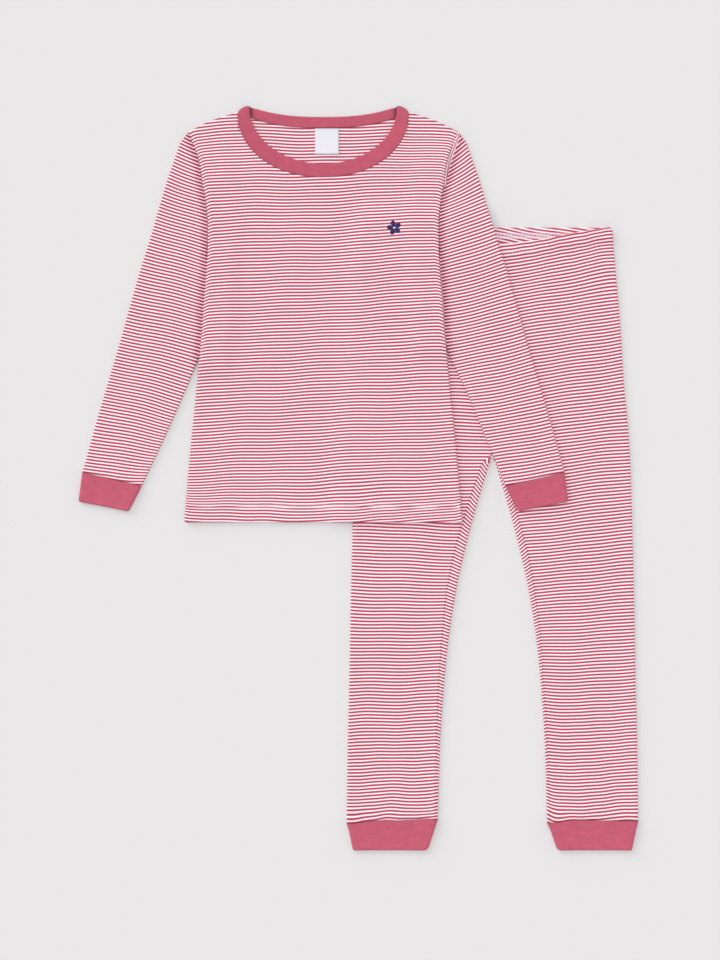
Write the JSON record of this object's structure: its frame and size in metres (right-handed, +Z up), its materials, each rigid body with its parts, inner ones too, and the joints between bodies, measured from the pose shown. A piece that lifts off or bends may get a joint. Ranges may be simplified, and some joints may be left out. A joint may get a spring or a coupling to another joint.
{
  "type": "pyjama set",
  "caption": "Child's striped rib-knit pyjama set laid flat: long-sleeved top with solid rib neckband and cuffs, lying partly over its matching cuffed trousers.",
  "frame": {"origin": "bottom centre of the whole set's box, on the surface that it lies on", "axes": "+X across the set towards the wearer's left, +Y along it from the ankle cuffs to the neck, +Z up from the surface"},
  "size_m": [0.5868, 0.7804, 0.0136],
  "materials": {
    "striped_rib": "fine rib-knit cotton with narrow raspberry and white cross stripes, matt",
    "rib_band": "solid raspberry rib knit, matt",
    "label_cloth": "plain white woven satin label"
  },
  "bodies": {
    "root": {"top_front": "striped_rib", "top_back": "striped_rib", "neckband_front": "rib_band", "neckband_back": "rib_band", "neck_label": "label_cloth", "sleeve_right": "striped_rib", "sleeve_left": "striped_rib", "wrist_cuff_right": "rib_band", "wrist_cuff_left": "rib_band", "trouser_leg_right": "striped_rib", "trouser_leg_left": "striped_rib", "inner_leg_strip_right": "striped_rib", "inner_leg_strip_left": "striped_rib", "ankle_cuff_right": "rib_band", "ankle_cuff_left": "rib_band"}
  },
  "joints": []
}
